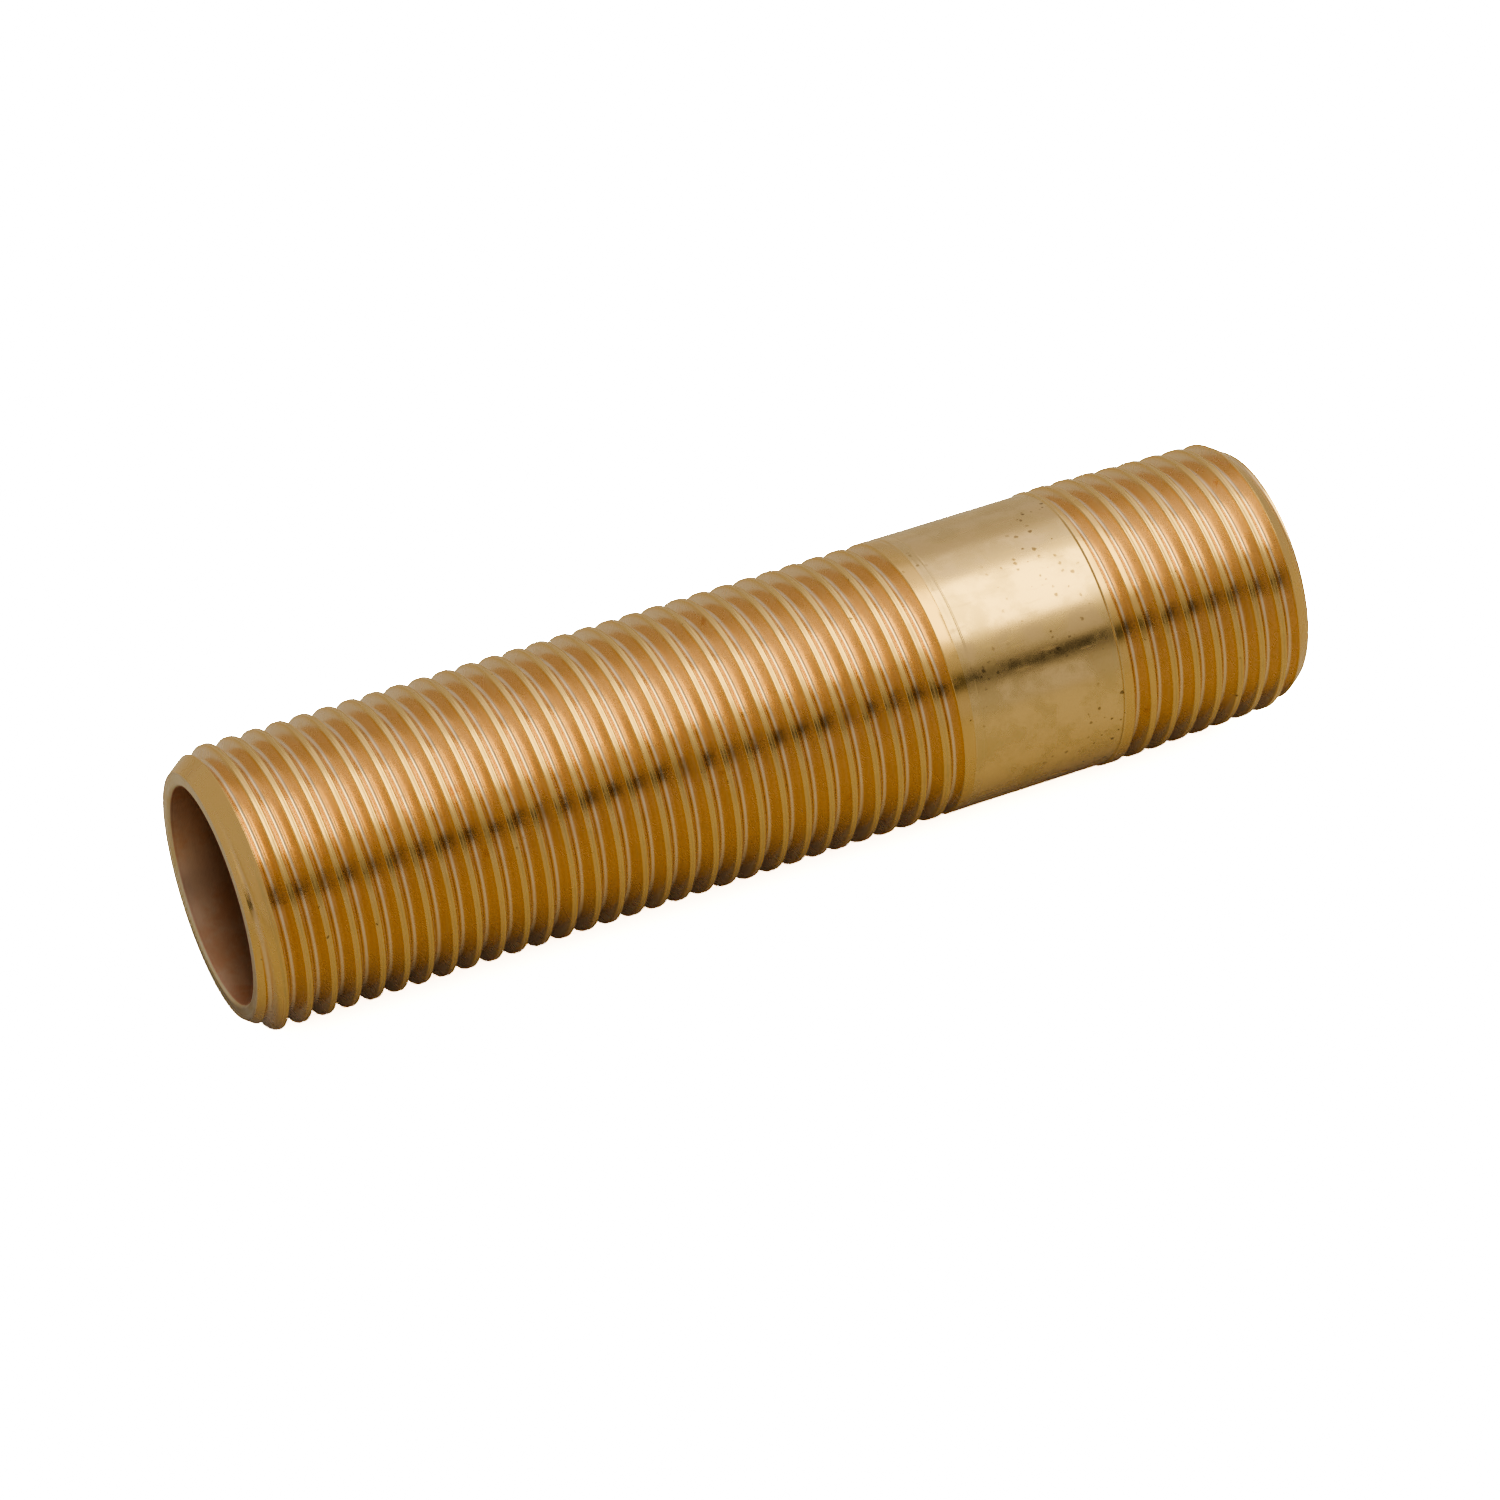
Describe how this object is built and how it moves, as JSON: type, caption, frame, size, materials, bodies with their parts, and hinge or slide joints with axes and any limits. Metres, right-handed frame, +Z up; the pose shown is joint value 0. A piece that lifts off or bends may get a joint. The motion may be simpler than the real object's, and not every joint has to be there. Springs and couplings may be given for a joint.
{
  "type": "barrel nipple",
  "caption": "Brass long-screw pipe nipple: a long parallel male thread, a short plain barrel and a short taper male thread on one through-bored tube, chamfered at both ends",
  "frame": {"origin": "on the nipple's axis, in the plane of the ring face at the long, parallel-threaded end", "axes": "+X runs along the axis from the long end to the short taper end, +Z is up with the nipple lying level, +Y completes a right-handed frame; the nipple is round about X"},
  "size_m": [0.0825, 0.021, 0.021],
  "materials": {
    "machined_brass": "bright machined brass with fine turning lines"
  },
  "bodies": {
    "root": {"nipple_body": "machined_brass"}
  },
  "joints": []
}
